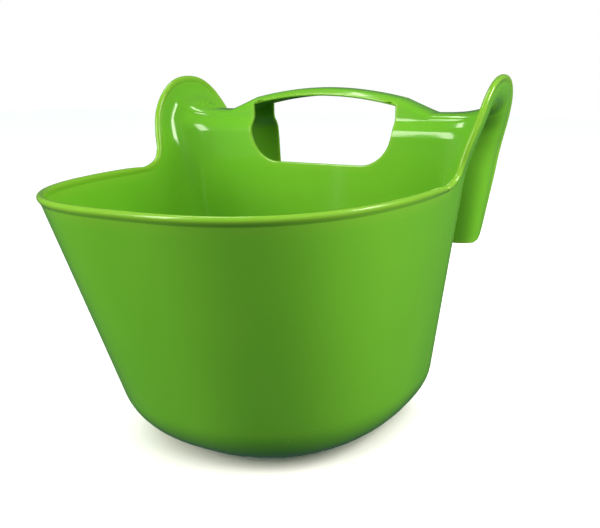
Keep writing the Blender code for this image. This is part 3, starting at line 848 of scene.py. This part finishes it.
def pale_ground():
    """A wide floor with a soft light of its own; it adds nothing to the tub's colour."""
    data = bpy.data.meshes.new("floor")
    signs = [(-1, -1), (1, -1), (1, 1), (-1, 1)]
    corners = [(x * FLOOR_REACH, y * FLOOR_REACH, 0.0) for x, y in signs]
    data.from_pydata(corners, [], [(0, 1, 2, 3)])
    data.materials.append(pale_floor())
    floor = bpy.data.objects.new("floor", data)
    floor.location.z = -FLOOR_DROP
    bpy.context.scene.collection.objects.link(floor)
    floor.visible_diffuse = False
    floor.visible_glossy = False

    sun = bpy.data.lights.new("floor_light", "SUN")
    sun.energy = FLOOR_LIGHT
    sun.angle = radians(FLOOR_LIGHT_SPREAD)
    sky = bpy.data.objects.new("floor_light", sun)
    bpy.context.scene.collection.objects.link(sky)
    lit = bpy.data.collections.new("floor_only")
    lit.objects.link(floor)
    sky.light_linking.receiver_collection = lit


def surroundings():
    """White behind the tub, and a dim cool sky that lights it and shows in its gloss."""
    world = bpy.data.worlds.new("studio")
    world.use_nodes = True
    bpy.context.scene.world = world
    tree = world.node_tree
    surround = tree.nodes["Background"]
    direction = tree.nodes.new("ShaderNodeTexCoord")
    parts = tree.nodes.new("ShaderNodeSeparateXYZ")
    tree.links.new(direction.outputs["Generated"], parts.inputs["Vector"])
    height = remap(tree, parts.outputs["Z"], SKY_HEIGHTS, (0.0, 1.0))
    tree.links.new(blend_colours(tree, height, SKY_LOW, SKY_HIGH), surround.inputs["Color"])
    path = tree.nodes.new("ShaderNodeLightPath")
    strength = remap(tree, path.outputs["Is Glossy Ray"], (0.0, 1.0), (SKY_STRENGTH, SKY_MIRRORED))
    tree.links.new(strength, surround.inputs["Strength"])
    behind = tree.nodes.new("ShaderNodeBackground")
    behind.inputs["Color"].default_value = (1.0, 1.0, 1.0, 1.0)
    behind.inputs["Strength"].default_value = 1.0
    mix = tree.nodes.new("ShaderNodeMixShader")
    tree.links.new(path.outputs["Is Camera Ray"], mix.inputs["Fac"])
    tree.links.new(surround.outputs["Background"], mix.inputs[1])
    tree.links.new(behind.outputs["Background"], mix.inputs[2])
    tree.links.new(mix.outputs["Shader"], tree.nodes["World Output"].inputs["Surface"])


def studio():
    """Floor, soft boxes and surroundings."""
    pale_ground()
    for name, azimuth, elevation, power in BROAD_LIGHTS:
        lamp = softbox(name, azimuth, elevation, BROAD_SIZE, power)
        lamp.visible_glossy = False
    for name, azimuth, elevation, size, power in HIGHLIGHTS:
        softbox(name, azimuth, elevation, size, power)
    surroundings()


def camera():
    """The camera, in front of the tub and a little to its right."""
    data = bpy.data.cameras.new("camera")
    data.sensor_width = 36.0
    data.lens = CAMERA_LENS
    data.shift_x, data.shift_y = CAMERA_SHIFT
    view = bpy.data.objects.new("camera", data)
    view.location = CAMERA_PLACE
    view.rotation_euler = (radians(90.0 - CAMERA_PITCH), 0.0, radians(CAMERA_TURN))
    bpy.context.scene.collection.objects.link(view)
    bpy.context.scene.camera = view


# ---- everything together ------------------------------------------------------------
def edge_closeness(points, free):
    """1 at a free edge, falling to 0 a few millimetres away."""
    ends = sorted({v for e in free for v in e})
    tree = KDTree(len(ends))
    for k, v in enumerate(ends):
        tree.insert(points[v], k)
    tree.balance()
    distance = np.array([tree.find(p)[2] for p in points])
    return 1 - smooth_step(distance / EDGE_REACH)


def follow(edges):
    """The vertices in order along one open run of directed edges."""
    following = dict(edges)
    run = list(set(following) - set(following.values()))
    while run[-1] in following:
        run.append(following[run[-1]])
    return run


def main():
    """Build every piece of the tub, then the floor, the lights and the camera."""
    points, faces, zones = mirror_and_merge(build_sheet())
    normals = point_normals(points, faces)
    free = set(boundary_edges(faces))
    zone_of = {}
    for face, zone in zip(faces, zones):
        for i, v in enumerate(face):
            zone_of[(face[i - 1], v)] = zone

    touching = {}
    for e in free:
        for v in e:
            touching.setdefault(v, []).append(outward(points, normals, e))
    outs = {v: meeting(d, normals[v]) for v, d in touching.items()}

    def has_bead(e):
        if zone_of[e] == "tub_wall":
            return True
        lowest = min(points[v][2] for v in e)
        nearest = min(abs(points[v][0]) for v in e)
        return lowest > LEG_BOTTOM + LEG_CORNER - MERGE and nearest > RIM_FLAT

    beaded = {e for e in free if has_bead(e)}
    closeness = edge_closeness(points, free)
    green = glossy_plastic("green_plastic", EDGE_GREEN, WALL_ROUGHNESS)
    pale = glossy_plastic("pale_green_plastic", BEAD_GREEN, BEAD_ROUGHNESS)
    for zone in sorted(set(zones)):
        own = [f for f, z in zip(faces, zones) if z == zone]
        piece = shell_from_zone(
            zone + "_shell", points, normals, outs, own, free - beaded, closeness)
        piece.data.materials.append(green)
        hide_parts(zone)
        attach(piece, "root")

    path = follow(beaded)
    radii = []
    for v in path:
        fade = 1.0
        if points[v][1] > EAR_CENTRE:
            fade = smooth_step((points[v][2] - LEG_BOTTOM - LEG_CORNER) / (SEAM - LEG_BOTTOM))
        radii.append(BEAD_END_RADIUS + (BEAD_RADIUS - BEAD_END_RADIUS) * fade)
    bead = bead_piece("edge_bead", points, normals, outs, path, radii)
    bead.data.materials.append(pale)
    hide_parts("rim_bead", "ear_bead_left", "ear_bead_right")
    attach(bead, "root")
    studio()
    camera()
    bpy.context.scene.view_settings.view_transform = "Standard"


main()
bpy.context.view_layer.update()
